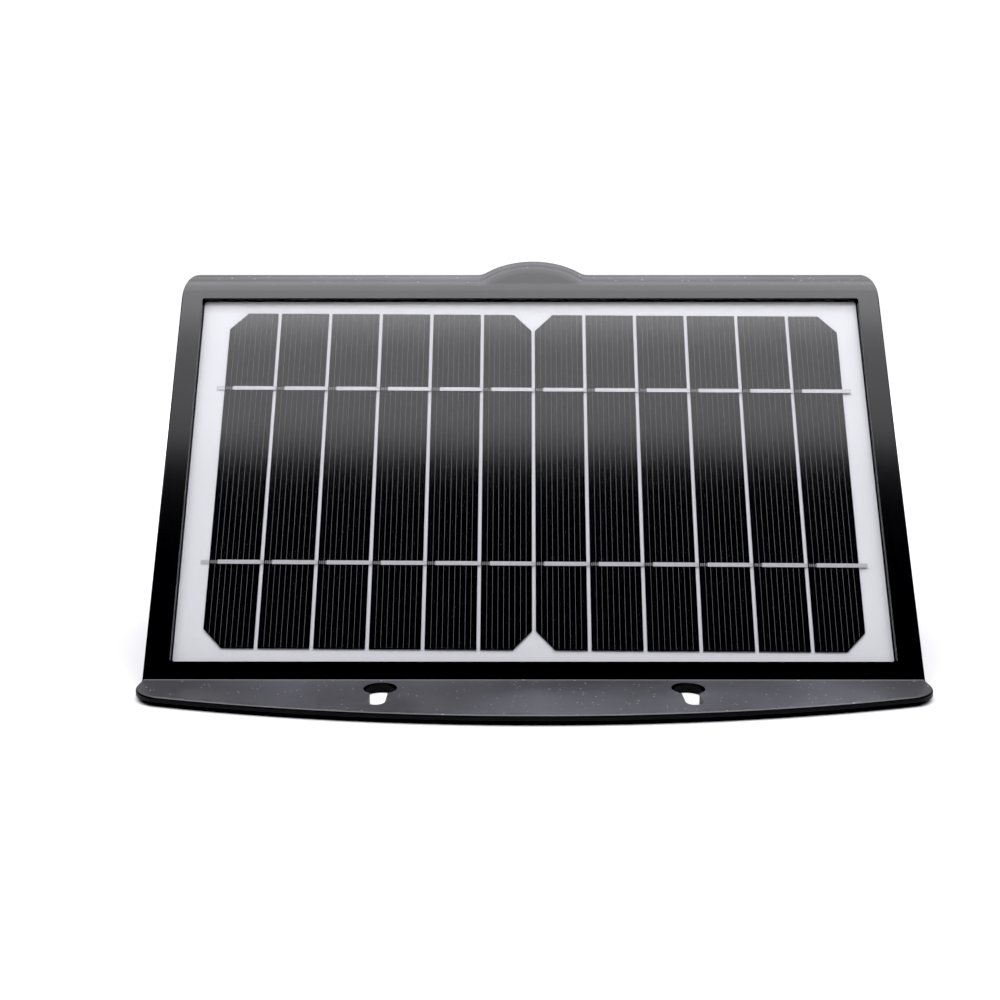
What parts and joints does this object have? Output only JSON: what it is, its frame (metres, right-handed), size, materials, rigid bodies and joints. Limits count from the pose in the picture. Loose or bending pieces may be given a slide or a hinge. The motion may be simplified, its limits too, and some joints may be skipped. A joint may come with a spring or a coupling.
{
  "type": "solar wall light",
  "caption": "Wedge-shaped wall light with a cell panel on its sloping face, a keyhole flange along its foot, a sensor pod, a lamp window beneath and a sprung mode button.",
  "frame": {"origin": "midway between the centres of the two keyholes, on the wall plane", "axes": "+X along the panel's long side, +Y down the wall, +Z straight out of the wall"},
  "size_m": [0.26, 0.147, 0.1423],
  "materials": {
    "housing": "fine-textured dark charcoal plastic, semi-matt",
    "cover": "fine-textured black plastic",
    "seal": "black foam rubber",
    "steel": "bright zinc-plated steel",
    "laminate": "clear textured film, slightly hazy",
    "backsheet": "white film, satin",
    "panel_board": "glass-fibre board, satin",
    "bead": "white silicone",
    "silicon": "black textured silicon with fine silver grid lines",
    "ribbon": "bright tinned copper",
    "diffuser": "opal plastic, satin",
    "gasket": "black rubber",
    "reflector": "white gloss plastic",
    "light_board": "white solder mask",
    "led": "yellow phosphor in a white case",
    "sensor_lens": "milky faceted plastic",
    "trim": "black plastic, semi-matt",
    "inner_plastic": "black moulded plastic",
    "circuit_board": "green solder mask",
    "can": "bright can",
    "button": "black silicone rubber, satin",
    "switch": "black moulded plastic",
    "plunger": "red moulded plastic",
    "cell_sleeve": "blue shrink sleeve",
    "contact": "nickel-plated spring steel",
    "socket": "cream nylon",
    "chip": "black epoxy",
    "ferrite": "dark grey ferrite",
    "leads": "insulated copper wire"
  },
  "bodies": {
    "light": {"front_housing": "housing", "back_cover": "cover", "cover_seal": "seal", "cover_screws": "steel", "panel_film": "laminate", "backsheet": "backsheet", "panel_board": "panel_board", "panel_bead": "bead", "cell_01": "silicon", "cell_02": "silicon", "cell_03": "silicon", "cell_04": "silicon", "cell_05": "silicon", "cell_06": "silicon", "cell_07": "silicon", "cell_08": "silicon", "cell_09": "silicon", "cell_10": "silicon", "cell_11": "silicon", "cell_12": "silicon", "cell_ribbons_upper": "ribbon", "cell_ribbons_lower": "ribbon", "led_diffuser": "diffuser", "diffuser_gasket": "gasket", "reflector": "reflector", "led_board": "light_board", "led_chips": "led", "led_board_screws": "steel", "sensor_lens": "sensor_lens", "lens_ring": "trim", "sensor_holder": "inner_plastic", "sensor_board": "circuit_board", "motion_sensor": "can", "switch_body": "switch", "switch_board": "circuit_board", "switch_screws": "steel", "battery_tray": "inner_plastic", "battery_cell_1": "cell_sleeve", "battery_cell_2": "cell_sleeve", "battery_contacts": "contact", "control_board": "circuit_board", "control_board_screws": "steel", "lead_sockets": "socket", "control_chips": "chip", "capacitors": "can", "coil": "ferrite", "blocking_diode": "chip", "panel_leads": "leads", "lamp_leads": "leads", "sensor_leads": "leads", "switch_leads": "leads", "battery_leads": "leads"},
    "mode_button": {"button_cap": "button", "switch_plunger": "plunger"}
  },
  "joints": [
    {"name": "mode_button_press", "type": "slide", "parent": "light", "child": "mode_button", "axis": [0, -0.9781, -0.2079], "range_m": [0, 0.001], "stiffness_N_per_m": 400}
  ]
}
